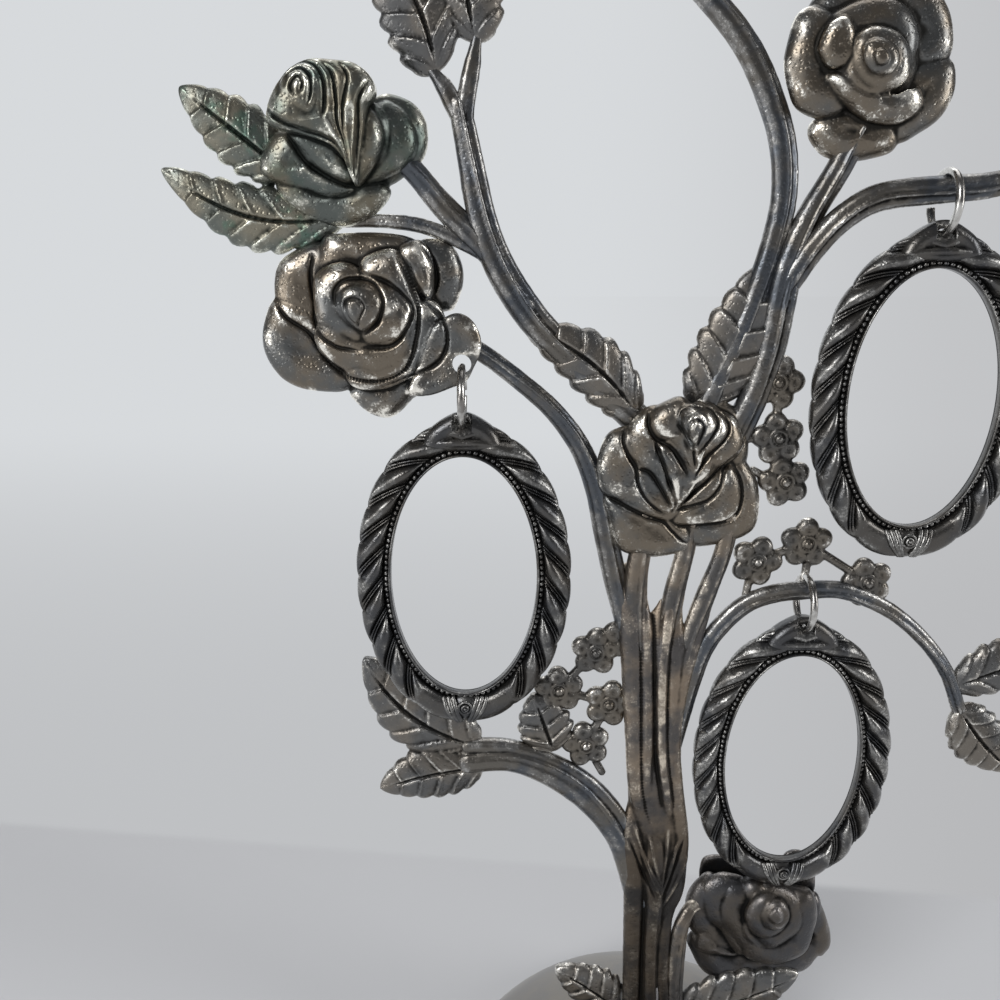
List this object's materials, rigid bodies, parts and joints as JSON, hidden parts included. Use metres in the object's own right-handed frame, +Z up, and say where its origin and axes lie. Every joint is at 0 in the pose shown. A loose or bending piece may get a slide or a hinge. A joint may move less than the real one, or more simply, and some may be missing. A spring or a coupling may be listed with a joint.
{
  "type": "photo tree stand",
  "caption": "Tree-shaped cast metal stand with roses, leaves and blossoms on a domed base, with small oval photo frames hung on jump rings.",
  "frame": {"origin": "centre of the base underside, on the surface it stands on", "axes": "+Z up along the tree, +X to the right seen from the front, front of the tree towards -Y"},
  "size_m": [0.1546, 0.076, 0.2541],
  "materials": {
    "limb_pewter": "antique silver-grey cast metal, worn bright on the ridges",
    "rose_pewter": "dark antique pewter with warm tints and worn edges",
    "leaf_pewter": "antique pewter, dark in the veins",
    "frame_pewter": "dark antique pewter, bright lobes",
    "dome_satin": "satin grey metal",
    "bright_wire": "nickel plated wire",
    "steel": "plain zinc plated steel",
    "felt": "black felt"
  },
  "bodies": {
    "stand": {"arch_blossoms": "leaf_pewter", "base_dome": "dome_satin", "base_felt": "felt", "base_leaves": "leaf_pewter", "branch_leaf": "leaf_pewter", "centre_blossoms": "leaf_pewter", "centre_left_leaf": "leaf_pewter", "centre_right_leaf": "leaf_pewter", "centre_rose": "rose_pewter", "centre_stem_left": "limb_pewter", "centre_stem_middle": "limb_pewter", "centre_stem_right": "limb_pewter", "crown_arch": "limb_pewter", "crown_leaves": "leaf_pewter", "crown_rose": "rose_pewter", "far_right_branch": "limb_pewter", "far_right_leaves": "leaf_pewter", "far_right_rose": "rose_pewter", "fixing_screw": "steel", "fixing_washer": "steel", "fork_leaves": "leaf_pewter", "leaf_twig_left": "limb_pewter", "leaf_twig_right": "limb_pewter", "left_tip_leaves": "leaf_pewter", "lower_left_blossoms": "leaf_pewter", "lower_left_branch": "limb_pewter", "lower_left_leaves": "leaf_pewter", "lower_right_arch": "limb_pewter", "lower_right_leaves": "leaf_pewter", "lower_right_rose": "rose_pewter", "lower_rose_stem": "limb_pewter", "middle_left_branch": "limb_pewter", "middle_left_rose": "rose_pewter", "right_branch": "limb_pewter", "rose_twig": "limb_pewter", "thin_twig": "limb_pewter", "trunk": "limb_pewter", "upper_left_branch": "limb_pewter", "upper_left_rose": "rose_pewter", "upper_right_rose": "rose_pewter"},
    "left_ring": {"left_ring": "bright_wire"},
    "left_frame": {"left_frame": "frame_pewter"},
    "lower_right_ring": {"lower_right_ring": "bright_wire"},
    "lower_right_frame": {"lower_right_frame": "frame_pewter"},
    "upper_right_ring": {"upper_right_ring": "bright_wire"},
    "upper_right_frame": {"upper_right_frame": "frame_pewter"}
  },
  "joints": [
    {"name": "left_ring_swing", "type": "hinge", "parent": "stand", "child": "left_ring", "pos_m": [-0.03338, -0.0046, 0.14684], "axis": [-1, 0, 0], "range_deg": [-0.5, 25]},
    {"name": "left_frame_sway", "type": "hinge", "parent": "left_ring", "child": "left_frame", "pos_m": [-0.03338, -0.0046, 0.13824], "axis": [0, 1, 0], "range_deg": [-15, 15]},
    {"name": "lower_right_ring_swing", "type": "hinge", "parent": "stand", "child": "lower_right_ring", "pos_m": [0.02161, -0.0004, 0.11049], "axis": [-1, 0, 0], "range_deg": [-0.4, 25]},
    {"name": "lower_right_frame_sway", "type": "hinge", "parent": "lower_right_ring", "child": "lower_right_frame", "pos_m": [0.02161, -0.0004, 0.10411], "axis": [0, 1, 0], "range_deg": [-8, 2.2]},
    {"name": "upper_right_ring_swing", "type": "hinge", "parent": "stand", "child": "upper_right_ring", "pos_m": [0.03541, -0.0024, 0.17158], "axis": [-1, 0, 0], "range_deg": [-0.5, 25]},
    {"name": "upper_right_frame_sway", "type": "hinge", "parent": "upper_right_ring", "child": "upper_right_frame", "pos_m": [0.03541, -0.0024, 0.16549], "axis": [0, 1, 0], "range_deg": [-12, 6]}
  ]
}
